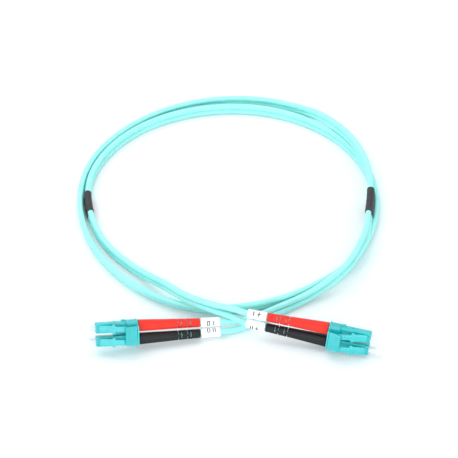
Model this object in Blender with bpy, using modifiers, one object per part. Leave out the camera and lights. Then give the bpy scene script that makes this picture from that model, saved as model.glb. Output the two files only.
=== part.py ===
"""Duplex fibre optic patch cord: two twin plugs joined by a zip cord lying in a loop.

World frame: +Z up, the table at Z = 0, the origin below the middle of the two twin plugs.
Each end has its own frame on an empty: X runs back from the plugs' front faces to the cord,
Z is the side the latches are on, Y goes across the two channels. Channel 1 is the upper one.
"""
import math

import bmesh
import bpy
import numpy as np
from mathutils import Euler, Matrix, Vector

MM = 0.001

# Plug housing, along X from its front face
PITCH = 6.25 * MM
BODY = 4.5 * MM
BODY_LENGTH = 19.5 * MM
EDGE = 0.25 * MM
FRONT_BORE = 1.6 * MM
FRONT_BORE_DEPTH = 2.3 * MM
SHOULDER_BORE = 1.0 * MM
SHOULDER_BACK = 3.1 * MM
REAR_BORE = 1.75 * MM
POCKET = (0.4 * MM, 1.3 * MM, 3.3 * MM, 0.5 * MM)
LUG = (12.1 * MM, 13.8 * MM)
LUG_HEIGHT = 0.7 * MM
SIDE_HOLE_AT = 8.7 * MM
SIDE_HOLE_RADIUS = 0.45 * MM
SIDE_HOLE_LOW = -1.2 * MM

# Latch, hinged at its root near the front of the housing
LATCH_PIVOT = Vector((1.9, 0.0, 2.9)) * MM
LATCH_SIDE = (
    (1.4, 2.6), (1.8, 2.55), (2.6, 2.65), (5.2, 3.35), (6.8, 4.1), (8.7, 4.75), (11.9, 5.95),
    (14.3, 6.2), (14.3, 6.85), (13.1, 6.8), (12.95, 7.05), (12.5, 7.05), (12.3, 6.75),
    (11.8, 6.65), (8.7, 5.5), (6.8, 4.95), (5.2, 4.2), (2.2, 3.38), (1.5, 3.15),
)
LATCH_HALF_PLAN = ((1.3, 1.7), (6.9, 1.7), (7.5, 2.3), (8.6, 2.3), (8.8, 1.25), (14.4, 1.25))

# Ferrule and the pieces behind it, as (position along X, radius)
FERRULE_TIP = -2.0 * MM
FERRULE_BACK = 4.4 * MM
FERRULE_RADIUS = 0.625 * MM
HOLDER_FRONT = 3.3 * MM
HOLDER_FLANGE_BACK = 4.7 * MM
HOLDER_BACK = 9.8 * MM
HOLDER_FLANGE = 1.45 * MM
HOLDER_TAIL = 0.85 * MM
FIBRE_RADIUS = 0.45 * MM
FIBRE_SPAN = (4.6 * MM, 27.0 * MM)
SPRING_SPAN = (5.0 * MM, 10.9 * MM)
SPRING_RADIUS = 1.2 * MM
SPRING_WIRE = 0.15 * MM
SPRING_TURNS = 4
REAR_BODY_SPAN = (11.2 * MM, 27.6 * MM)
REAR_BODY_RADIUS = 1.6 * MM
POST_FROM = 19.6 * MM
POST_RADIUS = 1.15 * MM
POST_BORE = 0.65 * MM
CRIMP_SPAN = (21.0 * MM, 27.4 * MM)
CRIMP_RADII = (1.4 * MM, 1.9 * MM)

# Dust cap
CAP_INNER_END = 1.6 * MM
CAP_FLANGE_FROM = -3.6 * MM
CAP_TIP = -4.9 * MM
CAP_NECK = 1.4 * MM
CAP_FLANGE = 2.2 * MM
CAP_BORE = 0.8 * MM
CAP_BORE_END = -2.7 * MM

# Duplex clip and its trigger
CLIP_SPAN = (14.2 * MM, 19.0 * MM)
CLIP_HALF = 5.75 * MM
CLIP_HEIGHTS = (-2.9 * MM, 3.3 * MM)
SPINE = (8.3 * MM, 0.7 * MM, -2.0 * MM, 0.6 * MM)
FLANGE_SPAN = (18.8 * MM, 19.5 * MM)
FLANGE_HALF = 5.95 * MM
FLANGE_HEIGHTS = (-3.1 * MM, 3.6 * MM)
HINGE_WALL = (4.3 * MM, 6.9 * MM)
CHANNEL = 5.1 * MM
TRIGGER_PIVOT = Vector((18.4, 0.0, 6.25)) * MM
TRIGGER_WIDTH = 8.5 * MM
TRIGGER_RIBS = 8
RIB_HEIGHT = 0.35

# Boot: (X, radius) down its outside, its two bores, and its two pairs of slits
BOOT_FROM = 19.8 * MM
BOOT_TO = 48.6 * MM
BOOT_RADII = (2.6 * MM, 2.05 * MM)
BOOT_STEP = 28.2 * MM
BOOT_BORES = (2.15 * MM, 1.7 * MM)
SLITS = ((38.3 * MM, "side"), (39.8 * MM, "face"), (42.6 * MM, "side"), (44.1 * MM, "face"))
SLIT_WIDTH = 0.4 * MM
SLIT_WEB = 0.5 * MM

# Label sleeve and cord
SLEEVE_SPAN = (49.0 * MM, 57.9 * MM)
SLEEVE_RADII = (1.7 * MM, 2.15 * MM)
LEG_FROM = 28.4 * MM
STRAND = 1.4 * MM
STRAND_GAP = 2.85 * MM
WEB_HALF = 0.45 * MM
SHRINK_CLEARANCE = 0.25 * MM
SHRINK_WALL = 0.2 * MM
SHRINK_LENGTH = {"a": 17 * MM, "b": 14 * MM}

# How each end lies: front-face centre, yaw, pitch and roll in degrees, +1 where back is +X
ENDS = {
    "a": {"at": (-63.3, -0.8, 8.5), "yaw": 8.8, "pitch": -3.8, "roll": 32.5, "back": 1},
    "b": {"at": (62.85, -3.75, 5.95), "yaw": 12.7, "pitch": 3.4, "roll": 22.0, "back": -1},
}
# The strands' place where they leave the label sleeves: distance apart in mm, lean in degrees
SLEEVE_EXIT = {"a": (4.6, 48.0), "b": (4.9, 22.0)}

# The cord's centre line round the loop's middle, from end a to end b: angle in degrees,
# radius, lift of the lower strand off the table, lean of the pair towards the middle in
# degrees, and the strands' distance apart, all in mm. The strands lie one above the other.
LOOP_CENTRE = Vector((-0.1, 96.55, 0.0)) * MM
ROUTE = (
    (-90.6, 86.6, 0.4, 55, 4.1),
    (-87.4, 84.8, 0.1, 62, 3.6),
    (-83.8, 82.6, 0.0, 68, 3.2),
    (-80.0, 80.8, 0.0, 62, 3.0),
    (-76.0, 79.2, 0.0, 48, 2.9),
    (-70.0, 77.4, 0.1, 28, 2.85),
    (-63.0, 76.4, 0.8, 16, 2.85),
    (-57.0, 76.1, 2.2, 14, 2.85),
    (-51.0, 76.0, 4.0, 15, 2.85),
    (-44.0, 75.5, 5.6, 18, 2.85),
    (-35.0, 73.2, 6.0, 20, 2.85),
    (-25.0, 70.8, 5.9, 20, 2.85),
    (-15.0, 68.4, 5.2, 15, 2.85),
    (-6.3, 67.8, 4.8, 13, 2.85),
    (3.0, 68.2, 5.1, 9, 2.85),
    (11.5, 69.1, 5.8, 5, 2.85),
    (20.0, 69.9, 6.0, 2, 2.85),
    (28.0, 70.7, 6.0, -1, 2.85),
    (36.0, 71.3, 6.0, -3, 2.85),
    (44.0, 71.9, 5.7, -5, 2.85),
    (52.0, 73.1, 4.6, -7, 2.85),
    (60.0, 74.5, 2.4, -8, 2.85),
    (70.0, 75.8, 0.5, -8, 2.85),
    (83.0, 75.8, 0.0, -8, 2.85),
    (98.0, 75.1, 0.0, -8, 2.85),
    (114.0, 74.7, 0.0, -8, 2.85),
    (130.0, 74.6, 0.0, -8, 2.85),
    (146.0, 75.0, 0.0, -8, 2.85),
    (163.0, 75.4, 0.0, -8, 2.85),
    (180.0, 74.9, 0.0, -8, 2.85),
    (196.0, 74.7, 0.0, -12, 2.85),
    (212.0, 74.9, 0.0, -15, 2.85),
    (228.0, 75.6, 0.0, -15, 2.85),
    (242.0, 76.4, 0.0, -18, 2.85),
    (254.0, 76.7, 0.0, -22, 2.85),
    (265.0, 75.7, 0.0, -15, 2.85),
    (276.0, 74.2, 0.0, -10, 2.85),
    (289.0, 72.8, 0.0, -8, 2.85),
    (305.0, 71.6, 0.0, -8, 2.85),
    (320.0, 71.7, 0.0, -8, 2.85),
    (335.0, 71.2, 0.0, -8, 2.85),
    (350.0, 70.8, 0.0, -6, 2.85),
    (365.0, 70.6, 0.0, -5, 2.85),
    (381.0, 70.5, 0.0, -8, 2.85),
    (397.0, 70.4, 0.0, -8, 2.85),
    (414.0, 70.0, 0.0, -8, 2.85),
    (433.0, 69.5, 0.0, -8, 2.85),
    (454.0, 69.3, 0.0, -8, 2.85),
    (474.0, 69.9, 0.0, -8, 2.85),
    (492.0, 71.1, 0.0, -7, 2.85),
    (508.0, 71.9, 0.0, -7, 2.85),
    (525.0, 72.2, 0.2, -5, 2.85),
    (543.2, 71.0, 0.55, 3, 2.85),
    (551.0, 70.2, 0.55, 3, 2.85),
    (561.0, 69.5, 0.2, 2, 2.85),
    (573.0, 68.5, 0.0, 0, 2.85),
    (587.0, 67.8, 0.5, 0, 2.85),
    (597.0, 69.6, 3.0, 0, 2.85),
    (606.0, 73.4, 5.8, 3, 2.85),
    (612.8, 76.7, 6.2, 6, 2.85),
    (617.0, 78.5, 6.3, 9, 2.9),
    (621.4, 80.4, 6.4, 12, 3.2),
    (625.7, 82.4, 6.5, 16, 3.6),
    (630.0, 84.7, 6.4, 19, 4.2),
)
SPLIT = {"a": 13, "b": 52}
LEG_STEP = 7.2 * MM
ZIP_STEP = 9.0 * MM
SHRINK_STEP = 3.5 * MM

COLOURS = {
    "aqua_plastic": ((0.06, 0.62, 0.64), 0.35, 0.0),
    "red_boot": ((0.90, 0.05, 0.03), 0.5, 0.0),
    "black_boot": ((0.02, 0.022, 0.025), 0.5, 0.0),
    "white_plastic": ((0.85, 0.86, 0.87), 0.4, 0.0),
    "aqua_jacket": ((0.30, 0.87, 0.80), 0.45, 0.0),
    "black_shrink": ((0.03, 0.03, 0.032), 0.6, 0.0),
    "ceramic": ((0.90, 0.89, 0.85), 0.2, 0.0),
    "steel": ((0.60, 0.60, 0.62), 0.3, 1.0),
    "brass": ((0.75, 0.60, 0.35), 0.3, 1.0),
    "fibre_buffer": ((0.75, 0.82, 0.80), 0.4, 0.0),
}


def clear_scene():
    for obj in list(bpy.data.objects):
        bpy.data.objects.remove(obj, do_unlink=True)


def new_collection(name):
    collection = bpy.data.collections.new(name)
    bpy.context.scene.collection.children.link(collection)
    return collection


def make_materials():
    made = {}
    for name, (colour, roughness, metallic) in COLOURS.items():
        material = bpy.data.materials.new(name)
        material.use_nodes = True
        shader = material.node_tree.nodes["Principled BSDF"]
        shader.inputs["Base Color"].default_value = (*colour, 1.0)
        shader.inputs["Roughness"].default_value = roughness
        shader.inputs["Metallic"].default_value = metallic
        made[name] = material
    return made


clear_scene()
PARTS = new_collection("fiber_optic_patch_cord")
CUTTERS = new_collection("cutters")
MATERIALS = make_materials()


# ---------------------------------------------------------------- building blocks

def place(name, data, material, parent=None, location=(0, 0, 0), rotation=(0, 0, 0)):
    """A named part in the parts collection, set in its parent's frame."""
    obj = bpy.data.objects.new(name, data)
    PARTS.objects.link(obj)
    data.materials.clear()
    data.materials.append(MATERIALS[material])
    obj.parent = parent
    obj.location = location
    obj.rotation_euler = rotation
    return obj


def cutter(name, data, target, location=(0, 0, 0), rotation=(0, 0, 0)):
    """A hidden wire object that shares the target's parent frame."""
    obj = bpy.data.objects.new(name, data)
    CUTTERS.objects.link(obj)
    obj.parent = target.parent
    obj.location = location
    obj.rotation_euler = rotation
    obj.hide_render = True
    obj.display_type = "WIRE"
    return obj


def combine(target, other, operation):
    boolean = target.modifiers.new(operation.lower(), "BOOLEAN")
    boolean.operation = operation
    boolean.solver = "EXACT"
    boolean.object = other


def bevel(obj, width, segments=1, angle=40):
    modifier = obj.modifiers.new("edges", "BEVEL")
    modifier.width = width
    modifier.segments = segments
    modifier.limit_method = "ANGLE"
    modifier.angle_limit = math.radians(angle)


def box_mesh(name, *boxes):
    """One mesh of separate boxes, each as ((x0, x1), (y0, y1), (z0, z1))."""
    bm = bmesh.new()
    for spans in boxes:
        centre = Vector([(low + high) / 2 for low, high in spans])
        size = Vector([high - low for low, high in spans])
        matrix = Matrix.Translation(centre) @ Matrix.Diagonal((*size, 1.0))
        bmesh.ops.create_cube(bm, size=1.0, matrix=matrix)
    mesh = bpy.data.meshes.new(name)
    bm.to_mesh(mesh)
    bm.free()
    return mesh


def profile_mesh(name, points, closed):
    """A turned piece's profile, as (X, radius) pairs, drawn in the XZ plane for a Screw about Z.

    The pairs go forwards along the outside, and the profile's Z is the plug's X.
    """
    mesh = bpy.data.meshes.new(name)
    vertices = [(radius, 0.0, x) for x, radius in points]
    edges = [(i, i + 1) for i in range(len(points) - 1)]
    if closed:
        edges.append((len(points) - 1, 0))
    mesh.from_pydata(vertices, edges, [])
    return mesh


# turns a piece modelled about Z so that its Z points back along the plug's X
ABOUT_X = (0.0, math.pi / 2, 0.0)


def screw(obj, steps):
    modifier = obj.modifiers.new("turn", "SCREW")
    modifier.angle = 2 * math.pi
    modifier.steps = steps
    modifier.render_steps = steps
    modifier.use_merge_vertices = True
    modifier.merge_threshold = 0.000001
    modifier.use_smooth_shade = False


def turned(name, points, material, parent, location, steps=20, closed=True):
    """A ring or a solid turned about the plug's X axis through location."""
    obj = place(name, profile_mesh(name, points, closed), material, parent, location, ABOUT_X)
    screw(obj, steps)
    return obj


def turned_cutter(name, points, target, location, steps=20):
    obj = cutter(name, profile_mesh(name, points, False), target, location, ABOUT_X)
    screw(obj, steps)
    combine(target, obj, "DIFFERENCE")
    return obj


def weld_to_mesh(obj, name, merge=0.000001):
    """The evaluated object as a welded mesh of its own."""
    evaluated = obj.evaluated_get(bpy.context.evaluated_depsgraph_get())
    mesh = bpy.data.meshes.new_from_object(evaluated)
    mesh.name = name
    bm = bmesh.new()
    bm.from_mesh(mesh)
    bmesh.ops.remove_doubles(bm, verts=bm.verts, dist=merge)
    bmesh.ops.recalc_face_normals(bm, faces=bm.faces)
    bm.to_mesh(mesh)
    bm.free()
    return mesh


def outline_curve(name, points, closed=True):
    curve = bpy.data.curves.new(name, "CURVE")
    curve.dimensions = "2D"
    spline = curve.splines.new("POLY")
    spline.points.add(len(points) - 1)
    for point, (x, y) in zip(spline.points, points):
        point.co = (x, y, 0.0, 1.0)
    spline.use_cyclic_u = closed
    return curve


def prism_mesh(name, outline, thickness, turn=None):
    """A flat outline in mm, given half its thickness each way, then turned by a matrix."""
    curve = outline_curve(name, [(x * MM, y * MM) for x, y in outline])
    curve.fill_mode = "BOTH"
    curve.extrude = thickness / 2
    guide = bpy.data.objects.new(name, curve)
    CUTTERS.objects.link(guide)
    bpy.context.view_layer.update()
    mesh = weld_to_mesh(guide, name)
    bpy.data.objects.remove(guide, do_unlink=True)
    if turn:
        mesh.transform(turn)
    return mesh


# an outline of (X, Z) pairs stands up with its thickness along Y
STAND_UP = Matrix.Rotation(math.pi / 2, 4, "X")


# ---------------------------------------------------------------- the ends' frames

def end_matrix(end):
    """Front-face centre of a twin plug, X back, Z out of the latch side."""
    yaw, pitch, roll = (math.radians(end[key]) for key in ("yaw", "pitch", "roll"))
    side = end["back"]
    back = Vector((side * math.cos(yaw) * math.cos(pitch), math.sin(yaw) * math.cos(pitch), math.sin(pitch)))
    up = (Vector((0, 0, 1)) - back * back.z).normalized()
    away = up.cross(back) * side
    across = up * math.cos(roll) + away * math.sin(roll)
    normal = up * math.sin(roll) - away * math.cos(roll)
    rows = (back, across * side, normal)
    turn = Matrix([[axis[i] for axis in rows] for i in range(3)]).to_4x4()
    return Matrix.Translation(Vector(end["at"]) * MM) @ turn


def end_empty(key):
    empty = bpy.data.objects.new(f"end_{key}_frame", None)
    PARTS.objects.link(empty)
    empty.matrix_world = end_matrix(ENDS[key])
    return empty


def channel_offset(key, channel):
    """Y of a channel's axis in its end's frame. Channel 1 is the upper one at both ends."""
    upper = ENDS[key]["back"] * PITCH / 2
    return upper if channel == 1 else -upper


# ---------------------------------------------------------------- one plug

def make_housing(name, parent, y, outer):
    """The square body, bored from both ends, with a lug and a small hole on its outer side."""
    half = BODY / 2
    mesh = box_mesh(name, ((0, BODY_LENGTH), (y - half, y + half), (-half, half)))
    body = place(name, mesh, "aqua_plastic", parent)
    bevel(body, EDGE)
    lug_y = sorted((y + outer * (half - EDGE), y + outer * (half + LUG_HEIGHT)))
    lug = cutter(name + "_lug", box_mesh(name + "_lug", (LUG, lug_y, (-half + EDGE, -0.3 * half))), body)
    combine(body, lug, "UNION")
    x0, x1, width, depth = POCKET
    pocket = box_mesh(name + "_pocket", ((x0, x1), (y - width / 2, y + width / 2), (half - depth, half + depth)))
    combine(body, cutter(name + "_pocket", pocket, body), "DIFFERENCE")
    bore = (
        (BODY_LENGTH + MM, 0.0), (BODY_LENGTH + MM, REAR_BORE), (SHOULDER_BACK, REAR_BORE),
        (SHOULDER_BACK, SHOULDER_BORE), (FRONT_BORE_DEPTH, SHOULDER_BORE),
        (FRONT_BORE_DEPTH, FRONT_BORE), (-MM, FRONT_BORE), (-MM, 0.0),
    )
    turned_cutter(name + "_bore", bore, body, (0, y, 0))
    hole = box_mesh(name + "_hole", (
        (SIDE_HOLE_AT - SIDE_HOLE_RADIUS, SIDE_HOLE_AT + SIDE_HOLE_RADIUS),
        tuple(sorted((y + outer * (half - 0.3 * MM), y + outer * (half + MM)))),
        (SIDE_HOLE_LOW, SIDE_HOLE_LOW + 2 * SIDE_HOLE_RADIUS),
    ))
    hole_cutter = cutter(name + "_hole", hole, body)
    bevel(hole_cutter, 0.3 * SIDE_HOLE_RADIUS)
    combine(body, hole_cutter, "DIFFERENCE")


def make_latch(name, parent, y):
    """A springy arm that rises from its root to two ears and a narrower tail."""
    width = 2 * max(half for _, half in LATCH_HALF_PLAN) * MM + MM
    mesh = prism_mesh(name, LATCH_SIDE, width, STAND_UP)
    mesh.transform(Matrix.Translation(-LATCH_PIVOT))
    arm = place(name, mesh, "aqua_plastic", parent, LATCH_PIVOT + Vector((0, y, 0)))
    plan = list(LATCH_HALF_PLAN) + [(x, -half) for x, half in reversed(LATCH_HALF_PLAN)]
    outline = prism_mesh(name + "_plan", plan, 8 * MM)
    plan_cutter = cutter(name + "_plan", outline, arm, (0, y, LATCH_PIVOT.z))
    combine(arm, plan_cutter, "INTERSECT")


def make_ferrule_group(prefix, parent, y):
    """The ceramic ferrule in its flanged holder, with the buffered fibre behind it."""
    at = (0, y, 0)
    chamfer = 0.2 * MM
    turned(prefix + "_ferrule", (
        (FERRULE_BACK, 0.0), (FERRULE_BACK, FERRULE_RADIUS), (FERRULE_TIP + chamfer, FERRULE_RADIUS),
        (FERRULE_TIP, FERRULE_RADIUS - chamfer), (FERRULE_TIP, 0.0),
    ), "ceramic", parent, at, 16, closed=False)
    cup = FERRULE_RADIUS + 0.1 * MM
    bore = FIBRE_RADIUS + 0.1 * MM
    turned(prefix + "_ferrule_holder", (
        (HOLDER_BACK, bore), (HOLDER_BACK, HOLDER_TAIL), (HOLDER_FLANGE_BACK, HOLDER_TAIL),
        (HOLDER_FLANGE_BACK, HOLDER_FLANGE), (HOLDER_FRONT, HOLDER_FLANGE), (HOLDER_FRONT, cup),
        (FERRULE_BACK + 0.1 * MM, cup), (FERRULE_BACK + 0.1 * MM, bore),
    ), "steel", parent, at, 16)
    start, end = FIBRE_SPAN
    turned(prefix + "_buffered_fibre", (
        (end, 0.0), (end, FIBRE_RADIUS), (start, FIBRE_RADIUS), (start, 0.0),
    ), "fibre_buffer", parent, at, 8, closed=False)


def make_spring(name, parent, y):
    """A compression spring about the holder's tail, wound along the plug's X."""
    start, end = (SPRING_SPAN[0] + SPRING_WIRE, SPRING_SPAN[1] - SPRING_WIRE)
    per_turn = 10
    count = SPRING_TURNS * per_turn + 1
    points = []
    for i in range(count):
        angle = 2 * math.pi * i / per_turn
        along = start + (end - start) * i / (count - 1)
        points.append((along, y + SPRING_RADIUS * math.cos(angle), SPRING_RADIUS * math.sin(angle)))
    tube(name, points, SPRING_WIRE, "steel", parent, 0)


def make_rear_body(prefix, parent, y):
    """The stopper that closes the housing, with the post that the crimp sleeve grips."""
    at = (0, y, 0)
    front, back = REAR_BODY_SPAN
    turned(prefix + "_rear_body", (
        (back, POST_BORE), (back, POST_RADIUS), (POST_FROM, POST_RADIUS),
        (POST_FROM, REAR_BODY_RADIUS), (front, REAR_BODY_RADIUS), (front, POST_BORE),
    ), "steel", parent, at, 16)
    inner, outer = CRIMP_RADII
    first, last = CRIMP_SPAN
    turned(prefix + "_crimp_sleeve", (
        (last, inner), (last, outer), (first, outer), (first, inner),
    ), "brass", parent, at, 16)


def make_dust_cap(name, parent, y):
    """A rimmed push-on cap over the ferrule; its neck goes into the plug's front bore."""
    turned(name, (
        (CAP_INNER_END, CAP_BORE), (CAP_INNER_END, CAP_NECK), (CAP_FLANGE_FROM, CAP_NECK),
        (CAP_FLANGE_FROM, CAP_FLANGE), (CAP_TIP, CAP_FLANGE), (CAP_TIP, 0.0),
        (CAP_BORE_END, 0.0), (CAP_BORE_END, CAP_BORE),
    ), "white_plastic", parent, (0, y, 0), 20, closed=True)


# ---------------------------------------------------------------- pieces of one end

def make_clip(name, parent):
    """The block that holds two plugs side by side, with a spine between them, a flange and a wall."""
    body = place(name, box_mesh(
        name, (CLIP_SPAN, (-CLIP_HALF, CLIP_HALF), CLIP_HEIGHTS)), "aqua_plastic", parent)
    bevel(body, 0.7 * MM, 2)
    wall_y, wall_z = HINGE_WALL
    flange = cutter(name + "_flange", box_mesh(
        name + "_flange", (FLANGE_SPAN, (-FLANGE_HALF, FLANGE_HALF), FLANGE_HEIGHTS)), body)
    bevel(flange, 0.3 * MM)
    combine(body, flange, "UNION")
    wall = cutter(name + "_wall", box_mesh(
        name + "_wall", (FLANGE_SPAN, (-wall_y, wall_y), (0, wall_z))), body)
    combine(body, wall, "UNION")
    front, spine_half, low, high = SPINE
    spine = cutter(name + "_spine", box_mesh(
        name + "_spine", ((front, CLIP_SPAN[0] + MM), (-spine_half, spine_half), (low, high))), body)
    combine(body, spine, "UNION")
    half = CHANNEL / 2
    channels = box_mesh(name + "_channels", *[
        ((CLIP_SPAN[0] - MM, FLANGE_SPAN[1] + MM), (y - half, y + half), (-half, half))
        for y in (-PITCH / 2, PITCH / 2)
    ])
    combine(body, cutter(name + "_channels", channels, body), "DIFFERENCE")


def trigger_outline():
    """Side view of the ribbed trigger in mm, rising forwards from its hinge."""
    front, back = (13.1, 18.6)
    low_front, low_back = (7.5, 6.2)
    thick = 0.55
    slope = (low_front - low_back) / (front - back)
    points = [(back, low_back), (front + 0.5, low_front - 0.12), (front, low_front)]
    pitch = (back - front) / TRIGGER_RIBS
    for i in range(TRIGGER_RIBS):
        for along, height in ((0.0, RIB_HEIGHT), (0.5, RIB_HEIGHT), (0.6, 0.0), (0.9, 0.0)):
            x = front + (i + along) * pitch
            points.append((x, low_front + slope * (x - front) + thick + height))
    points.append((back, low_back + thick))
    return points


def make_trigger(name, parent):
    mesh = prism_mesh(name, trigger_outline(), TRIGGER_WIDTH, STAND_UP)
    mesh.transform(Matrix.Translation(-TRIGGER_PIVOT))
    place(name, mesh, "aqua_plastic", parent, TRIGGER_PIVOT)


def make_boot(name, material, line):
    """A tapered strain relief on a straight line from the clip to the label sleeve."""
    length = BOOT_TO - BOOT_FROM
    step = BOOT_STEP - BOOT_FROM
    front, back = BOOT_RADII
    wide, narrow = BOOT_BORES
    lip = 0.35 * MM
    boot = turned(name, (
        (length, narrow), (length, back - 0.15 * MM), (length - lip, back), (0.0, front),
        (0.0, wide), (step, wide), (step, narrow),
    ), material, line, (0, 0, 0), 20)
    reach = 4 * MM
    boxes = []
    for x, kind in SLITS:
        span = (x - BOOT_FROM - SLIT_WIDTH / 2, x - BOOT_FROM + SLIT_WIDTH / 2)
        for low, high in ((SLIT_WEB, reach), (-reach, -SLIT_WEB)):
            across, along = ((low, high), (-reach, reach))
            boxes.append((span, across, along) if kind == "side" else (span, along, across))
    combine(boot, cutter(name + "_slits", box_mesh(name + "_slits", *boxes), boot), "DIFFERENCE")


def make_label_sleeve(name, line):
    inner, outer = SLEEVE_RADII
    first, last = (x - BOOT_FROM for x in SLEEVE_SPAN)
    turned(name, (
        (last, inner), (last, outer), (first, outer), (first, inner),
    ), "white_plastic", line, (0, 0, 0), 20)


# ---------------------------------------------------------------- the cord

def natural_spline(at, values, wanted):
    """Cubic through values at places at, with no curvature at its two ends."""
    gaps = np.diff(at)
    slopes = np.diff(values) / gaps
    matrix = np.eye(len(at))
    right = np.zeros(len(at))
    for i in range(1, len(at) - 1):
        matrix[i, i - 1:i + 2] = (gaps[i - 1], 2 * (gaps[i - 1] + gaps[i]), gaps[i])
        right[i] = 6 * (slopes[i] - slopes[i - 1])
    bend = np.linalg.solve(matrix, right)
    i = np.clip(np.searchsorted(at, wanted) - 1, 0, len(gaps) - 1)
    t, h = (wanted - at[i], gaps[i])
    first = slopes[i] - h * (2 * bend[i] + bend[i + 1]) / 6
    return values[i] + t * (first + t * (bend[i] / 2 + t * (bend[i + 1] - bend[i]) / (6 * h)))


def gentle_curve(at, values, wanted):
    """Cubic through the values that never runs past them, for lifts, leans and gaps."""
    gaps = np.diff(at)
    slopes = np.diff(values) / gaps
    ahead, behind = (slopes[1:], slopes[:-1])
    same = ahead * behind > 0
    inner = np.where(same, 2 * ahead * behind / np.where(same, ahead + behind, 1), 0)
    tangent = np.concatenate([[slopes[0]], inner, [slopes[-1]]])
    i = np.clip(np.searchsorted(at, wanted) - 1, 0, len(gaps) - 1)
    h = gaps[i]
    t = (wanted - at[i]) / h
    return (
        values[i] * (1 + 2 * t) * (1 - t) ** 2 + h * tangent[i] * t * (1 - t) ** 2
        + values[i + 1] * t * t * (3 - 2 * t) - h * tangent[i + 1] * t * t * (1 - t)
    )


def straight_stations(key):
    """The pair's places from the clip to the label sleeves, where both strands run straight."""
    frame = end_matrix(ENDS[key])
    apart, lean = SLEEVE_EXIT[key]
    last = 58.5 * MM
    upper, lower = (channel_offset(key, channel) for channel in (1, 2))
    start = [frame @ Vector((BOOT_FROM, y, 0)) for y in (upper, lower)]
    forward = (frame.to_3x3() @ Vector((1, 0, 0))) * ENDS[key]["back"]
    side = Vector((0, 0, 1)).cross(forward).normalized()
    up = forward.cross(side)
    half = (up * math.cos(math.radians(lean)) + side * math.sin(math.radians(lean))) * apart * MM / 2
    centre = frame @ Vector((last, 0, 0))
    ends = [centre + half, centre - half]
    stations = []
    for share in (0.0, 0.25, 0.5, 0.75, 1.0):
        pair = [a.lerp(b, share) for a, b in zip(start, ends)]
        middle = (pair[0] + pair[1]) / 2
        gap = pair[0] - pair[1]
        tilt = math.atan2(gap.dot(side), gap.dot(up))
        lift = middle.z - STRAND - gap.length / 2 * math.cos(tilt)
        stations.append((middle.x, middle.y, lift, tilt, gap.length))
    return stations


def route_stations():
    """Every station of the pair, as X, Y, lift, lean in radians and gap."""
    loop = []
    for angle, radius, lift, lean, gap in ROUTE:
        turn = math.radians(angle)
        x = LOOP_CENTRE.x + radius * MM * math.cos(turn)
        y = LOOP_CENTRE.y + radius * MM * math.sin(turn)
        loop.append((x, y, lift * MM, math.radians(lean), gap * MM))
    first = straight_stations("a")
    last = straight_stations("b")[::-1]
    return np.array(first + loop + last), len(first)


class Route:
    """The whole pair's centre line, with each strand beside it."""

    def __init__(self):
        self.stations, self.offset = route_stations()
        steps = np.linalg.norm(np.diff(self.stations[:, :2], axis=0), axis=1)
        self.at = np.concatenate([[0], np.cumsum(steps)])
        self.length = self.at[-1]

    def station(self, index):
        """Distance along the route of a point of ROUTE."""
        return self.at[self.offset + index]

    def centre(self, s):
        x, y = (natural_spline(self.at, self.stations[:, i], s) for i in (0, 1))
        lift, lean, gap = (gentle_curve(self.at, self.stations[:, i], s) for i in (2, 3, 4))
        z = np.maximum(lift, 0) + STRAND + gap / 2 * np.cos(lean)
        return np.stack([x, y, z], axis=1), lean, gap

    def strand(self, s, side):
        """Points of the upper (+1) or lower (-1) strand; 0 gives the centre line."""
        centre, lean, gap = self.centre(s)
        ahead, _, _ = self.centre(s + 0.2 * MM)
        behind, _, _ = self.centre(s - 0.2 * MM)
        along = ahead - behind
        along /= np.linalg.norm(along, axis=1)[:, None]
        across = np.cross((0, 0, 1), along)
        across /= np.linalg.norm(across, axis=1)[:, None]
        up = np.cross(along, across)
        offset = up * np.cos(lean)[:, None] + across * np.sin(lean)[:, None]
        return centre + offset * (side * gap / 2)[:, None]


def stretch(first, last, step):
    """Even places from first to last, about a step apart."""
    return np.linspace(first, last, max(2, round((last - first) / step) + 1))


def tube(name, points, radius, material, parent=None, resolution=2):
    """A round bar along the points, with flat ends."""
    curve = bpy.data.curves.new(name, "CURVE")
    curve.dimensions = "3D"
    curve.render_resolution_u = 0
    spline = curve.splines.new("POLY")
    spline.points.add(len(points) - 1)
    for point, place_at in zip(spline.points, points):
        point.co = (*place_at, 1.0)
    curve.bevel_depth = radius
    curve.bevel_resolution = resolution
    curve.use_fill_caps = True
    return place(name, curve, material, parent)


def swept_mesh(name, points, lean, outline, caps):
    """A mesh that carries an outline along the points, kept upright apart from its lean."""
    profile = bpy.data.objects.new(name + "_outline", outline_curve(name + "_outline", outline))
    CUTTERS.objects.link(profile)
    profile.hide_render = True
    profile.display_type = "WIRE"
    curve = bpy.data.curves.new(name, "CURVE")
    curve.dimensions = "3D"
    curve.render_resolution_u = 0
    curve.twist_mode = "Z_UP"
    spline = curve.splines.new("POLY")
    spline.points.add(len(points) - 1)
    for point, place_at, tilt in zip(spline.points, points, lean):
        point.co = (*place_at, 1.0)
        point.tilt = -tilt
    curve.bevel_mode = "OBJECT"
    curve.bevel_object = profile
    curve.use_fill_caps = caps
    guide = bpy.data.objects.new(name + "_guide", curve)
    CUTTERS.objects.link(guide)
    bpy.context.view_layer.update()
    mesh = weld_to_mesh(guide, name)
    bpy.data.objects.remove(guide, do_unlink=True)
    return mesh


def lobes(radius, from_angle, count):
    """The upper and lower lobe of a twin outline, counter-clockwise from the right."""
    points = []
    for middle, turn in ((STRAND_GAP / 2, 0.0), (-STRAND_GAP / 2, math.pi)):
        for i in range(count):
            angle = turn - from_angle + (math.pi + 2 * from_angle) * i / (count - 1)
            points.append((radius * math.cos(angle), middle + radius * math.sin(angle)))
    return points


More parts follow.
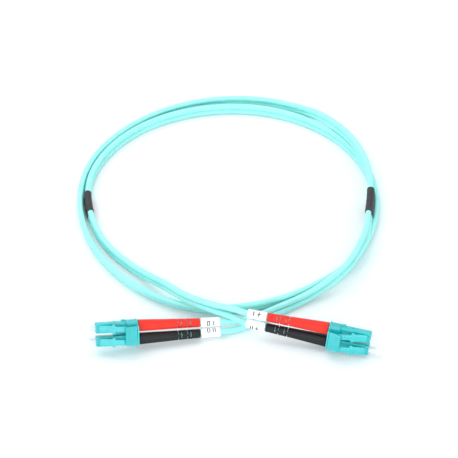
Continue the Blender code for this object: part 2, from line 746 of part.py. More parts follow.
def make_zip_cord(route, splits):
    """The twin cord between the two heat-shrink tubes: two strands joined by a web."""
    s = stretch(splits["a"] + 0.15 * MM, splits["b"] - 0.15 * MM, ZIP_STEP)
    _, lean, _ = route.centre(s)
    outline = lobes(STRAND, math.acos(WEB_HALF / STRAND), 7)
    place("zip_cord", swept_mesh("zip_cord", route.strand(s, 0), lean, outline, True), "aqua_jacket")


def make_shrink(name, route, middle, length):
    """A thin oval tube over the place where two legs become the twin cord."""
    s = stretch(middle - length / 2, middle + length / 2, SHRINK_STEP)
    _, lean, _ = route.centre(s)
    outline = lobes(STRAND + SHRINK_CLEARANCE, 0.0, 7)
    obj = place(name, swept_mesh(name, route.strand(s, 0), lean, outline, False), "black_shrink")
    skin = obj.modifiers.new("wall", "SOLIDIFY")
    skin.thickness = SHRINK_WALL
    skin.offset = 1.0


def line_frame(key, channel, route):
    """An empty at the boot's front, with X along the strand through boot and label sleeve."""
    side = 1 if channel == 1 else -1
    if key == "a":
        ends = np.array([route.at[0], route.at[4]])
    else:
        ends = np.array([route.at[-1], route.at[-5]])
    start, end = (Vector(point) for point in route.strand(ends, side))
    x_axis = (end - start).normalized()
    z_axis = end_matrix(ENDS[key]).to_3x3() @ Vector((0, 0, 1))
    y_axis = z_axis.cross(x_axis).normalized()
    z_axis = x_axis.cross(y_axis)
    turn = Matrix([[axis[i] for axis in (x_axis, y_axis, z_axis)] for i in range(3)]).to_4x4()
    empty = bpy.data.objects.new(f"{key}{channel}_line_frame", None)
    PARTS.objects.link(empty)
    empty.matrix_world = Matrix.Translation(start) @ turn
    return empty


def make_leg(name, key, channel, route, split):
    """One strand from inside its boot to the middle of the heat-shrink tube."""
    side = 1 if channel == 1 else -1
    inset = LEG_FROM - BOOT_FROM
    if key == "a":
        s = stretch(inset, split - 0.15 * MM, LEG_STEP)
    else:
        s = stretch(split + 0.15 * MM, route.length - inset, LEG_STEP)
    tube(name, route.strand(s, side), STRAND, "aqua_jacket")


# ---------------------------------------------------------------- assembly

def make_end(key, route, split):
    frame = end_empty(key)
    for channel in (1, 2):
        prefix = f"{key}{channel}"
        y = channel_offset(key, channel)
        outer = 1 if y > 0 else -1
        make_housing(prefix + "_plug_housing", frame, y, outer)
        make_latch(prefix + "_latch", frame, y)
        make_ferrule_group(prefix, frame, y)
        make_spring(prefix + "_spring", frame, y)
        make_rear_body(prefix, frame, y)
        make_dust_cap(prefix + "_dust_cap", frame, y)
        line = line_frame(key, channel, route)
        make_boot(prefix + "_boot", "red_boot" if channel == 1 else "black_boot", line)
        make_label_sleeve(prefix + "_label_sleeve", line)
        make_leg(prefix + "_leg", key, channel, route, split)
    make_clip(key + "_duplex_clip", frame)
    make_trigger(key + "_trigger", frame)
    make_shrink(key + "_heat_shrink", route, split, SHRINK_LENGTH[key])


def main():
    route = Route()
    splits = {key: route.station(index) for key, index in SPLIT.items()}
    for key in ENDS:
        make_end(key, route, splits[key])
    make_zip_cord(route, splits)


main()
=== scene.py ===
"""Looks of a duplex fibre optic patch cord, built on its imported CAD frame.

Small pieces are modelled in millimetres in the frame of their end (X back from the plugs'
front faces, Z out of the latch side), then set in the row frame in metres.
"""
import math
from functools import lru_cache

import bmesh
import bpy
import numpy as np
from mathutils import Matrix, Vector


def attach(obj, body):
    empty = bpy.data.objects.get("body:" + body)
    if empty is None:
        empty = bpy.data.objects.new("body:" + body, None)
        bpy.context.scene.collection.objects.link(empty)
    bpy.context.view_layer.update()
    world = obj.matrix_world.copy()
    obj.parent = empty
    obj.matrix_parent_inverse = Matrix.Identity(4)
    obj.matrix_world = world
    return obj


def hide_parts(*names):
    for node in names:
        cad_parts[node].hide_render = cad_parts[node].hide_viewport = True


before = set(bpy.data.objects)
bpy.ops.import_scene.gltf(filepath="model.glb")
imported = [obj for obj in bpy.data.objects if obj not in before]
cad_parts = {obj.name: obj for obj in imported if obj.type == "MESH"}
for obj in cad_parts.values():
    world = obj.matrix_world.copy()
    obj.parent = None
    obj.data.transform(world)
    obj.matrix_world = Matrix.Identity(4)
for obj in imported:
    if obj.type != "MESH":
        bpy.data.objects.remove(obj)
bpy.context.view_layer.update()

MM = 0.001
ROOT = "cord_and_plugs"

# Sizes in mm. A span or a place is an X in the frame of its end, measured back from the plugs'
# front faces; a half is half of a width or a height.
PITCH = 6.25
BODY_HALF = 2.25
BODY_LENGTH = 19.5
COLLAR_SPAN = (11.7, 14.3)
COLLAR_HEIGHT = 0.07
LUG_SPAN = (12.1, 13.8)
LUG_HEIGHT = 0.7
POCKET_SPAN = (0.4, 1.3)
SIDE_HOLE_SPAN = (8.25, 9.15)

CLIP_SPAN = (14.2, 19.0)
CLIP_RIM_TO = 14.6
SPINE_SPAN = (8.3, 15.0)
FLANGE_SPAN = (18.8, 19.5)
CHANNEL_HALF = 2.55
TRIGGER_SPAN = (13.1, 18.6)
TRIGGER_HALF = 4.25
TRIGGER_UNDERSIDE = (7.5, 6.2)
TRIGGER_THICKNESS = 0.55
RIBS = 8
RIB_HEIGHT = 0.35

BOOT_FROM = 19.8
BOOT_TO = 48.6
BOOT_RADII = (2.6, 2.05)
BOOT_STEP = 28.2
BOOT_BORES = (2.15, 1.7)
SLITS = ((38.3, "side"), (39.8, "face"), (42.6, "side"), (44.1, "face"))
SLIT_WIDTH = 0.4
SLIT_WEB = 0.5

SLEEVE_SPAN = (49.0, 57.9)
SLEEVE_RADII = (1.7, 2.15)
SLEEVE_EDGE = 0.08
LEG_FROM = 28.4
STRAIGHT_TO = 58.5
STRAND_RADIUS = 1.4
STRAND_GAP = 2.85
WEB_HALF = 0.45
SHRINK_LENGTH = {"a": 17.0, "b": 14.0}
SHRINK_BORE = 0.12
SHRINK_OUTSIDE = 0.4
MEETING_GAP = 0.15

# How each end lies: front-face centre in mm, yaw, pitch and roll in degrees, +1 where back is +X
ENDS = {
    "a": {"at": (-63.3, -0.8, 8.5), "yaw": 8.8, "pitch": -3.8, "roll": 32.5, "back": 1},
    "b": {"at": (62.85, -3.75, 5.95), "yaw": 12.7, "pitch": 3.4, "roll": 22.0, "back": -1},
}

# ---------------------------------------------------------------- the cord's route

# The strands' distance apart in mm and their pair's lean in degrees where they leave the sleeves
SLEEVE_EXIT = {"a": (4.6, 48.0), "b": (4.9, 22.0)}
LOOP_CENTRE = (-0.1, 96.55)

# Angle in degrees round the loop's centre, radius in mm, lift of the lower strand off the table
# in mm, lean of the pair towards the middle in degrees, and the strands' distance apart in mm
ROUTE = (
    (-90.6, 86.6, 0.4, 55, 4.1),
    (-87.4, 84.8, 0.1, 62, 3.6),
    (-83.8, 82.6, 0.0, 68, 3.2),
    (-80.0, 80.8, 0.0, 62, 3.0),
    (-76.0, 79.2, 0.0, 48, 2.9),
    (-70.0, 77.4, 0.1, 28, 2.85),
    (-63.0, 76.4, 0.8, 16, 2.85),
    (-57.0, 76.1, 2.2, 14, 2.85),
    (-51.0, 76.0, 4.0, 15, 2.85),
    (-44.0, 75.5, 5.6, 18, 2.85),
    (-35.0, 73.2, 6.0, 20, 2.85),
    (-25.0, 70.8, 5.9, 20, 2.85),
    (-15.0, 68.4, 5.2, 15, 2.85),
    (-6.3, 67.8, 4.8, 13, 2.85),
    (3.0, 68.2, 5.1, 9, 2.85),
    (11.5, 69.1, 5.8, 5, 2.85),
    (20.0, 69.9, 6.0, 2, 2.85),
    (28.0, 70.7, 6.0, -1, 2.85),
    (36.0, 71.3, 6.0, -3, 2.85),
    (44.0, 71.9, 5.7, -5, 2.85),
    (52.0, 73.1, 4.6, -7, 2.85),
    (60.0, 74.5, 2.4, -8, 2.85),
    (70.0, 75.8, 0.5, -8, 2.85),
    (83.0, 75.8, 0.0, -8, 2.85),
    (98.0, 75.1, 0.0, -8, 2.85),
    (114.0, 74.7, 0.0, -8, 2.85),
    (130.0, 74.6, 0.0, -8, 2.85),
    (146.0, 75.0, 0.0, -8, 2.85),
    (163.0, 75.4, 0.0, -8, 2.85),
    (180.0, 74.9, 0.0, -8, 2.85),
    (196.0, 74.7, 0.0, -12, 2.85),
    (212.0, 74.9, 0.0, -15, 2.85),
    (228.0, 75.6, 0.0, -15, 2.85),
    (242.0, 76.4, 0.0, -18, 2.85),
    (254.0, 76.7, 0.0, -22, 2.85),
    (265.0, 75.7, 0.0, -15, 2.85),
    (276.0, 74.2, 0.0, -10, 2.85),
    (289.0, 72.8, 0.0, -8, 2.85),
    (305.0, 71.6, 0.0, -8, 2.85),
    (320.0, 71.7, 0.0, -8, 2.85),
    (335.0, 71.2, 0.0, -8, 2.85),
    (350.0, 70.8, 0.0, -6, 2.85),
    (365.0, 70.6, 0.0, -5, 2.85),
    (381.0, 70.5, 0.0, -8, 2.85),
    (397.0, 70.4, 0.0, -8, 2.85),
    (414.0, 70.0, 0.0, -8, 2.85),
    (433.0, 69.5, 0.0, -8, 2.85),
    (454.0, 69.3, 0.0, -8, 2.85),
    (474.0, 69.9, 0.0, -8, 2.85),
    (492.0, 71.1, 0.0, -7, 2.85),
    (508.0, 71.9, 0.0, -7, 2.85),
    (525.0, 72.2, 0.2, -5, 2.85),
    (543.2, 71.0, 0.55, 3, 2.85),
    (551.0, 70.2, 0.55, 3, 2.85),
    (561.0, 69.5, 0.2, 2, 2.85),
    (573.0, 68.5, 0.0, 0, 2.85),
    (587.0, 67.8, 0.5, 0, 2.85),
    (597.0, 69.6, 3.0, 0, 2.85),
    (606.0, 73.4, 5.8, 3, 2.85),
    (612.8, 76.7, 6.2, 6, 2.85),
    (617.0, 78.5, 6.3, 9, 2.9),
    (621.4, 80.4, 6.4, 12, 3.2),
    (625.7, 82.4, 6.5, 16, 3.6),
    (630.0, 84.7, 6.4, 19, 4.2),
)
# The rows of ROUTE at which the twin cord splits into the legs of each end
SPLIT = {"a": 13, "b": 52}


def end_matrix(end):
    """Millimetres in an end's own frame to millimetres in the row frame."""
    yaw, pitch, roll = (math.radians(end[key]) for key in ("yaw", "pitch", "roll"))
    side = end["back"]
    level = math.cos(pitch)
    back = Vector((side * math.cos(yaw) * level, math.sin(yaw) * level, math.sin(pitch)))
    up = (Vector((0, 0, 1)) - back * back.z).normalized()
    away = up.cross(back) * side
    across = up * math.cos(roll) + away * math.sin(roll)
    normal = up * math.sin(roll) - away * math.cos(roll)
    rows = (back, across * side, normal)
    turn = Matrix([[axis[i] for axis in rows] for i in range(3)]).to_4x4()
    return Matrix.Translation(Vector(end["at"])) @ turn


def channel_offset(key, channel):
    """Y of a channel's axis in its end's frame. Channel 1 is the upper one at both ends."""
    upper = ENDS[key]["back"] * PITCH / 2
    return upper if channel == 1 else -upper


def natural_spline(at, values, wanted):
    """Cubic through values at places at, with no curvature at its two ends."""
    gaps = np.diff(at)
    slopes = np.diff(values) / gaps
    matrix = np.eye(len(at))
    right = np.zeros(len(at))
    for i in range(1, len(at) - 1):
        matrix[i, i - 1:i + 2] = (gaps[i - 1], 2 * (gaps[i - 1] + gaps[i]), gaps[i])
        right[i] = 6 * (slopes[i] - slopes[i - 1])
    bend = np.linalg.solve(matrix, right)
    i = np.clip(np.searchsorted(at, wanted) - 1, 0, len(gaps) - 1)
    t, h = (wanted - at[i], gaps[i])
    first = slopes[i] - h * (2 * bend[i] + bend[i + 1]) / 6
    return values[i] + t * (first + t * (bend[i] / 2 + t * (bend[i + 1] - bend[i]) / (6 * h)))


def gentle_curve(at, values, wanted):
    """Cubic through the values that never runs past them, for lifts, leans and gaps."""
    gaps = np.diff(at)
    slopes = np.diff(values) / gaps
    ahead, behind = (slopes[1:], slopes[:-1])
    same = ahead * behind > 0
    inner = np.where(same, 2 * ahead * behind / np.where(same, ahead + behind, 1), 0)
    tangent = np.concatenate([[slopes[0]], inner, [slopes[-1]]])
    i = np.clip(np.searchsorted(at, wanted) - 1, 0, len(gaps) - 1)
    h = gaps[i]
    t = (wanted - at[i]) / h
    return (
        values[i] * (1 + 2 * t) * (1 - t) ** 2 + h * tangent[i] * t * (1 - t) ** 2
        + values[i + 1] * t * t * (3 - 2 * t) - h * tangent[i + 1] * t * t * (1 - t)
    )


def straight_stations(key):
    """The pair's places from the clip to the label sleeves, where both strands run straight."""
    at_end = end_matrix(ENDS[key])
    apart, lean = SLEEVE_EXIT[key]
    start = [at_end @ Vector((BOOT_FROM, channel_offset(key, channel), 0)) for channel in (1, 2)]
    forward = (at_end.to_3x3() @ Vector((1, 0, 0))) * ENDS[key]["back"]
    side = Vector((0, 0, 1)).cross(forward).normalized()
    up = forward.cross(side)
    half = (up * math.cos(math.radians(lean)) + side * math.sin(math.radians(lean))) * apart / 2
    centre = at_end @ Vector((STRAIGHT_TO, 0, 0))
    ends = [centre + half, centre - half]
    stations = []
    for share in (0.0, 0.25, 0.5, 0.75, 1.0):
        pair = [a.lerp(b, share) for a, b in zip(start, ends)]
        middle = (pair[0] + pair[1]) / 2
        gap = pair[0] - pair[1]
        tilt = math.atan2(gap.dot(side), gap.dot(up))
        lift = middle.z - STRAND_RADIUS - gap.length / 2 * math.cos(tilt)
        stations.append((middle.x, middle.y, lift, tilt, gap.length))
    return stations


class Route:
    """The whole pair's centre line in mm, with each strand beside it."""

    def __init__(self):
        loop = []
        for angle, radius, lift, lean, gap in ROUTE:
            turn = math.radians(angle)
            x = LOOP_CENTRE[0] + radius * math.cos(turn)
            y = LOOP_CENTRE[1] + radius * math.sin(turn)
            loop.append((x, y, lift, math.radians(lean), gap))
        first = straight_stations("a")
        self.stations = np.array(first + loop + straight_stations("b")[::-1])
        self.offset = len(first)
        steps = np.linalg.norm(np.diff(self.stations[:, :2], axis=0), axis=1)
        self.at = np.concatenate([[0], np.cumsum(steps)])
        self.length = self.at[-1]

    def station(self, index):
        """Distance along the route of a point of ROUTE."""
        return self.at[self.offset + index]

    def centre(self, s):
        x, y = (natural_spline(self.at, self.stations[:, i], s) for i in (0, 1))
        lift, lean, gap = (gentle_curve(self.at, self.stations[:, i], s) for i in (2, 3, 4))
        z = np.maximum(lift, 0) + STRAND_RADIUS + gap / 2 * np.cos(lean)
        return np.stack([x, y, z], axis=1), lean, gap

    def frames(self, s):
        """Centre, unit vector across towards the loop's middle, and unit vector up."""
        centre, lean, gap = self.centre(s)
        ahead, _, _ = self.centre(s + 0.2)
        behind, _, _ = self.centre(s - 0.2)
        along = ahead - behind
        along /= np.linalg.norm(along, axis=1)[:, None]
        across = np.cross((0, 0, 1), along)
        across /= np.linalg.norm(across, axis=1)[:, None]
        up = np.cross(along, across)
        sin, cos = (np.sin(lean)[:, None], np.cos(lean)[:, None])
        return centre, across * cos - up * sin, up * cos + across * sin, gap

    def strand(self, s, side):
        """Points of the upper (+1) or lower (-1) strand; 0 gives the centre line."""
        centre, _, up, gap = self.frames(s)
        return centre + up * (side * gap / 2)[:, None]


ROUTE_LINE = Route()
SPLIT_AT = {key: ROUTE_LINE.station(index) for key, index in SPLIT.items()}


def stretch(first, last, step):
    """Even places from first to last, about a step apart."""
    return np.linspace(first, last, max(2, round(abs(last - first) / step) + 1))


# ---------------------------------------------------------------- materials

class Shade:
    """Adds nodes to one Principled material."""

    def __init__(self, name, colour, roughness, **sockets):
        self.material = bpy.data.materials.new(name)
        self.material.use_nodes = True
        self.tree = self.material.node_tree
        self.shader = self.tree.nodes["Principled BSDF"]
        self.shader.inputs["Base Color"].default_value = (*colour, 1)
        self.shader.inputs["Roughness"].default_value = roughness
        for socket, value in sockets.items():
            self.shader.inputs[socket.replace("_", " ")].default_value = value
        self.place = self.tree.nodes.new("ShaderNodeTexCoord")

    def link(self, source, target):
        self.tree.links.new(source, target)

    def mapped(self, scale, uv=False):
        """Object places, or UVs, multiplied by a scale along each axis."""
        mapping = self.tree.nodes.new("ShaderNodeMapping")
        mapping.inputs["Scale"].default_value = scale
        self.link(self.place.outputs["UV" if uv else "Object"], mapping.inputs["Vector"])
        return mapping.outputs["Vector"]

    def noise(self, scale, detail=3.0, uv=False, rough=0.55):
        node = self.tree.nodes.new("ShaderNodeTexNoise")
        node.inputs["Scale"].default_value = 1.0
        node.inputs["Detail"].default_value = detail
        node.inputs["Roughness"].default_value = rough
        self.link(self.mapped(scale, uv), node.inputs["Vector"])
        return node.outputs["Fac"]

    def ramp(self, factor, stops):
        """A colour ramp from (place, colour) stops."""
        node = self.tree.nodes.new("ShaderNodeValToRGB")
        elements = node.color_ramp.elements
        while len(elements) < len(stops):
            elements.new(0.5)
        for element, (at, colour) in zip(elements, stops):
            element.position = at
            element.color = (*colour, 1)
        self.link(factor, node.inputs["Fac"])
        return node.outputs["Color"]

    def spread(self, factor, low, high):
        """A factor from 0 to 1 as a value from low to high."""
        node = self.tree.nodes.new("ShaderNodeMapRange")
        node.inputs["From Min"].default_value = 0.3
        node.inputs["From Max"].default_value = 0.7
        node.inputs["To Min"].default_value = low
        node.inputs["To Max"].default_value = high
        self.link(factor, node.inputs["Value"])
        return node.outputs["Result"]

    def tint(self, factor, colour, amount):
        """The base colour wanders lighter and darker by an amount."""
        dark = tuple(c * (1 - amount) for c in colour)
        light = tuple(min(1.0, c * (1 + amount)) for c in colour)
        self.link(self.ramp(factor, ((0.3, dark), (0.7, light))), self.shader.inputs["Base Color"])

    def gloss(self, factor, low, high):
        self.link(self.spread(factor, low, high), self.shader.inputs["Roughness"])

    def bump(self, height, distance, strength=1.0):
        node = self.tree.nodes.new("ShaderNodeBump")
        node.inputs["Distance"].default_value = distance
        node.inputs["Strength"].default_value = strength
        self.link(height, node.inputs["Height"])
        self.link(node.outputs["Normal"], self.shader.inputs["Normal"])


def moulded_plastic(name, colour, roughness, **sockets):
    """Moulded plastic: faint flow clouds, a fine mould texture and patchy gloss."""
    shade = Shade(name, colour, roughness, **sockets)
    clouds = shade.noise((140, 140, 140), 2.0)
    fine = shade.noise((2500, 2500, 2500), 3.0)
    shade.tint(clouds, colour, 0.05)
    shade.gloss(shade.noise((700, 700, 700), 2.0), roughness - 0.06, roughness + 0.08)
    shade.bump(fine, 0.000015, 0.5)
    return shade.material


def jacket(name, colour):
    """Extruded cable jacket: draw lines along the cord and faint soft mottling."""
    shade = Shade(name, colour, 0.42, Specular_IOR_Level=0.6, Subsurface_Weight=0.5)
    shade.shader.inputs["Subsurface Radius"].default_value = (0.2, 1.0, 0.9)
    shade.shader.inputs["Subsurface Scale"].default_value = 0.0012
    streaks = shade.noise((24, 0.5, 1), 2.0, uv=True)
    grain = shade.noise((2200, 2200, 2200), 2.0)
    shade.tint(shade.noise((90, 90, 90), 2.0), colour, 0.05)
    shade.gloss(grain, 0.36, 0.5)
    shade.bump(streaks, 0.00002, 0.3)
    return shade.material


def elastomer(name, colour, roughness):
    """Satin rubbery plastic with a fine spark-eroded grain."""
    shade = Shade(name, colour, roughness, Specular_IOR_Level=0.25)
    grain = shade.noise((3200, 3200, 3200), 4.0, rough=0.7)
    shade.tint(shade.noise((260, 260, 260), 3.0), colour, 0.08)
    shade.gloss(grain, roughness - 0.08, roughness + 0.1)
    shade.bump(grain, 0.00003, 0.6)
    return shade.material


def shrink_tube(name):
    """Heat-shrunk sleeve: matte black, slightly puckered."""
    colour = (0.035, 0.035, 0.038)
    shade = Shade(name, colour, 0.6, Specular_IOR_Level=0.35)
    shade.tint(shade.noise((300, 300, 300), 3.0), colour, 0.2)
    shade.bump(shade.noise((450, 450, 450), 3.0), 0.0001, 0.5)
    return shade.material


def brushed_metal(name, colour, roughness, scale):
    """Turned or drawn metal with fine lines across one direction."""
    shade = Shade(name, colour, roughness, Metallic=1.0)
    lines = shade.noise(scale, 4.0, rough=0.7)
    shade.tint(lines, colour, 0.1)
    shade.gloss(lines, roughness - 0.08, roughness + 0.12)
    shade.bump(lines, 0.00001, 0.5)
    return shade.material


AQUA = (0.004, 0.50, 0.52)
MATERIALS = {
    "aqua_plastic": moulded_plastic(
        "aqua_plastic", AQUA, 0.33, Specular_IOR_Level=0.9, Subsurface_Weight=0.25,
        Subsurface_Radius=(0.05, 1.0, 1.0), Subsurface_Scale=0.0012),
    # The trigger's copy of the aqua plastic is lighter and whiter than the rest: painted sheen,
    # standing in for the glow that the front light puts on the plates.
    "aqua_trigger_painted_sheen": moulded_plastic(
        "aqua_trigger_painted_sheen", (0.055, 0.56, 0.58), 0.4, Specular_IOR_Level=0.9, Subsurface_Weight=0.25,
        Subsurface_Radius=(0.2, 1.0, 1.0), Subsurface_Scale=0.0012),
    "white_plastic": moulded_plastic("white_plastic", (0.93, 0.94, 0.95), 0.4),
    "clear_cap": moulded_plastic(
        "clear_cap", (0.97, 0.975, 0.98), 0.32, Subsurface_Weight=0.35, Specular_IOR_Level=0.4),
    "ink": moulded_plastic("ink", (0.02, 0.02, 0.022), 0.5),
    "aqua_jacket": jacket("aqua_jacket", (0.34, 0.83, 0.79)),
    "red_boot": elastomer("red_boot", (0.78, 0.03, 0.018), 0.5),
    "black_boot": elastomer("black_boot", (0.012, 0.0135, 0.015), 0.45),
    "black_shrink": shrink_tube("black_shrink"),
    "ceramic": moulded_plastic("ceramic", (0.90, 0.89, 0.85), 0.14),
    "steel": brushed_metal("steel", (0.62, 0.62, 0.64), 0.3, (6000, 600, 600)),
    "brass": brushed_metal("brass", (0.75, 0.58, 0.32), 0.32, (6000, 600, 600)),
    "fibre_buffer": moulded_plastic("fibre_buffer", (0.75, 0.82, 0.80), 0.4),
}


# ---------------------------------------------------------------- modelling helpers

def loose(name, data):
    """A new object in the scene, for a mesh or a curve."""
    obj = bpy.data.objects.new(name, data)
    bpy.context.scene.collection.objects.link(obj)
    return obj


def evaluated_mesh(obj):
    """A new mesh of what the object's curve or modifiers make."""
    bpy.context.view_layer.update()
    graph = bpy.context.evaluated_depsgraph_get()
    return bpy.data.meshes.new_from_object(obj.evaluated_get(graph))


def settle(obj):
    """The object keeps the mesh that its modifiers make."""
    mesh = evaluated_mesh(obj)
    obj.modifiers.clear()
    obj.data = mesh
    return obj


def discard(obj):
    """The object's mesh, without the object."""
    mesh = obj.data
    bpy.data.objects.remove(obj, do_unlink=True)
    return mesh


def combine(obj, mesh, operation="DIFFERENCE"):
    """The object with a mesh cut from it, joined to it, or kept only where both are."""
    tool = loose("tool", mesh)
    boolean = obj.modifiers.new("boolean", "BOOLEAN")
    boolean.operation = operation
    boolean.solver = "EXACT"
    boolean.object = tool
    settle(obj)
    bpy.data.objects.remove(tool, do_unlink=True)


def bevelled(obj, width, segments=3, angle=35):
    """The object with rounded edges where its faces turn by more than an angle in degrees."""
    bevel = obj.modifiers.new("edges", "BEVEL")
    bevel.width = width
    bevel.segments = segments
    bevel.limit_method = "ANGLE"
    bevel.angle_limit = math.radians(angle)
    bevel.use_clamp_overlap = True
    return settle(obj)


def box(*spans):
    """A box mesh from its spans along X, Y and Z."""
    spans = [sorted(span) for span in spans]
    centre = Vector([(low + high) / 2 for low, high in spans])
    size = [high - low for low, high in spans]
    place = Matrix.Translation(centre) @ Matrix.Diagonal((*size, 1.0))
    bm = bmesh.new()
    bmesh.ops.create_cube(bm, size=1.0, matrix=place)
    mesh = bpy.data.meshes.new("box")
    bm.to_mesh(mesh)
    bm.free()
    return mesh


def rounded_box(spans, width, segments=2):
    """A box mesh with edges rounded by a width."""
    return discard(bevelled(loose("box", box(*spans)), width, segments))


def loft(rings, caps=True, tube_wall=False):
    """A skin over matching rings: capped, open, or with its last ring joined to its first.

    Its UV runs round each ring, and along the rings in their own unit of length.
    """
    rings = np.asarray(rings, float)
    count, sides, _ = rings.shape
    middle = rings.mean(axis=1)
    run = np.concatenate([[0], np.cumsum(np.linalg.norm(np.diff(middle, axis=0), axis=1))])
    faces, uvs = ([], [])
    for i in range(count if tube_wall else count - 1):
        k = (i + 1) % count
        for j in range(sides):
            m = (j + 1) % sides
            faces.append((i * sides + j, i * sides + m, k * sides + m, k * sides + j))
            low, high = (run[i], run[i + 1] if i + 1 < count else run[i])
            left, right = (j / sides, (j + 1) / sides)
            uvs += [(left, low), (right, low), (right, high), (left, high)]
    if caps and not tube_wall:
        for i, order in ((0, reversed(range(sides))), (count - 1, range(sides))):
            faces.append(tuple(i * sides + j for j in order))
            uvs += [(0.5, run[i])] * sides
    mesh = bpy.data.meshes.new("loft")
    mesh.from_pydata(rings.reshape(-1, 3).tolist(), [], faces)
    layer = mesh.uv_layers.new(name="along")
    layer.data.foreach_set("uv", np.array(uvs).ravel())
    bm = bmesh.new()
    bm.from_mesh(mesh)
    bmesh.ops.recalc_face_normals(bm, faces=bm.faces)
    bm.to_mesh(mesh)
    bm.free()
    return mesh


def circle(radius, sides=48):
    """A ring about X, as (Y, Z) pairs."""
    angles = np.arange(sides) * 2 * math.pi / sides
    return np.stack([radius * np.cos(angles), radius * np.sin(angles)], axis=1)


def rings_along_x(sections):
    """Rings from (X, outline of (Y, Z) pairs) sections."""
    return [np.column_stack([np.full(len(outline), x), outline]) for x, outline in sections]


def turned(profile, sides=48, tube_wall=True):
    """A body of revolution about X from (X, radius) pairs; a tube's profile is a closed loop."""
    sections = [(x, circle(max(radius, 0.001), sides)) for x, radius in profile]
    return loft(rings_along_x(sections), not tube_wall, tube_wall)


def prism(outline, spans, axis):
    """A flat outline given a span along the axis it lacks.

    That is "x" for pairs of (Y, Z), "y" for (X, Z) and "z" for (X, Y).
    """
    curve = bpy.data.curves.new("outline", "CURVE")
    curve.dimensions = "2D"
    curve.fill_mode = "BOTH"
    curve.extrude = (spans[1] - spans[0]) / 2
    spline = curve.splines.new("POLY")
    spline.points.add(len(outline) - 1)
    for point, (x, y) in zip(spline.points, outline):
        point.co = (x, y, 0, 1)
    spline.use_cyclic_u = True
    mesh = mesh_from_curve(curve)
    middle = (spans[0] + spans[1]) / 2
    if axis == "y":
        mesh.transform(Matrix.Rotation(math.pi / 2, 4, "X"))
        mesh.transform(Matrix.Translation((0, middle, 0)))
    elif axis == "x":
        mesh.transform(Matrix(((0, 0, 1, middle), (1, 0, 0, 0), (0, 1, 0, 0), (0, 0, 0, 1))))
    else:
        mesh.transform(Matrix.Translation((0, 0, middle)))
    return mesh


def mesh_from_curve(curve):
    """A closed mesh of a filled curve, without the lines inside its flat faces."""
    obj = loose("outline", curve)
    mesh = evaluated_mesh(obj)
    bpy.data.objects.remove(obj, do_unlink=True)
    bm = bmesh.new()
    bm.from_mesh(mesh)
    bmesh.ops.remove_doubles(bm, verts=bm.verts, dist=0.0005)
    bmesh.ops.dissolve_limit(bm, angle_limit=0.001, verts=bm.verts, edges=bm.edges)
    bmesh.ops.recalc_face_normals(bm, faces=bm.faces)
    bm.to_mesh(mesh)
    bm.free()
    return mesh


def rounded_outline(half_width, half_height, radius, steps=5):
    """A rectangle of (Y, Z) pairs with round corners."""
    points = []
    corners = ((1, 1, 0), (-1, 1, 90), (-1, -1, 180), (1, -1, 270))
    for side, top, start in corners:
        for i in range(steps + 1):
            angle = math.radians(start + 90 * i / steps)
            y = side * (half_width - radius) + radius * math.cos(angle)
            z = top * (half_height - radius) + radius * math.sin(angle)
            points.append((y, z))
    return points


def moved(outline, y, z):
    """An outline of (Y, Z) pairs set elsewhere."""
    return [(a + y, b + z) for a, b in outline]


def fit(name, mesh, matrix, slot, body, nodes, angle=32, looks=None):
    """A finished piece in the row frame in metres, which rides a body and replaces CAD nodes.

    Its looks are its slot's material unless others are named, and its edges stay sharp where
    faces turn by more than the angle in degrees.
    """
    mesh = mesh.copy()
    mesh.transform(Matrix.Scale(MM, 4) @ matrix)
    for look in looks or (slot,):
        mesh.materials.append(MATERIALS[look])
    mesh.shade_smooth()
    mesh.set_sharp_from_angle(angle=math.radians(angle))
    piece = loose(name, mesh)
    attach(piece, body)
    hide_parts(*nodes)
    return piece


# ---------------------------------------------------------------- one plug

# The bore as (X, radius) pairs: a front bore, a shoulder for the ferrule's flange and a rear bore
BORE = ((-1, 1.6), (2.3, 1.6), (2.3, 1.0), (3.1, 1.0), (3.1, 1.75), (20.5, 1.75))


@lru_cache(maxsize=None)
def housing_mesh(outer):
    """A bored square body with a latch pocket, a collar, and a lug and a core hole on one side.

    The side of the lug and the hole is outer, +1 or -1 along Y.
    """
    half = BODY_HALF
    body = bevelled(loose("housing", box((0, BODY_LENGTH), (-half, half), (-half, half))), 0.28, 3)
    collar = (-half - COLLAR_HEIGHT, half + COLLAR_HEIGHT)
    combine(body, rounded_box((COLLAR_SPAN, collar, collar), 0.3, 3), "UNION")
    lug = (outer * (half - 0.4), outer * (half + LUG_HEIGHT))
    combine(body, rounded_box((LUG_SPAN, lug, (-2.0, -0.7)), 0.16), "UNION")
    combine(body, rounded_box((POCKET_SPAN, (-1.65, 1.65), (half - 0.5, half + 1)), 0.08, 2))
    combine(body, turned(BORE, 48, False))
    hole = (outer * (half - 0.45), outer * (half + 1))
    combine(body, rounded_box((SIDE_HOLE_SPAN, hole, (-1.2, -0.3)), 0.2, 3))
    return discard(body)


# The latch arm's side view, as (X, Z) pairs, and half of its plan, as (X, Y) pairs
LATCH_SIDE = (
    (1.4, 2.32), (2.1, 2.32), (2.7, 2.62), (5.2, 3.35), (6.8, 4.1), (8.7, 4.75), (11.9, 5.95),
    (12.6, 6.12), (14.2, 6.22), (14.3, 6.3), (14.3, 6.78), (14.2, 6.85), (13.1, 6.8),
    (12.95, 7.05), (12.5, 7.05), (12.3, 6.75), (11.8, 6.63), (8.8, 5.54), (8.6, 5.47),
    (6.9, 4.98), (6.7, 4.92), (5.3, 4.24), (5.1, 4.16), (2.2, 3.38), (1.65, 3.17), (1.4, 2.95),
)
LATCH_PLAN = (
    (1.3, 1.7), (6.9, 1.7), (7.2, 1.78), (7.5, 2.12), (7.8, 2.28), (8.4, 2.3), (8.6, 2.18),
    (8.7, 1.5), (9.0, 1.27), (14.0, 1.25), (14.3, 1.05),
)


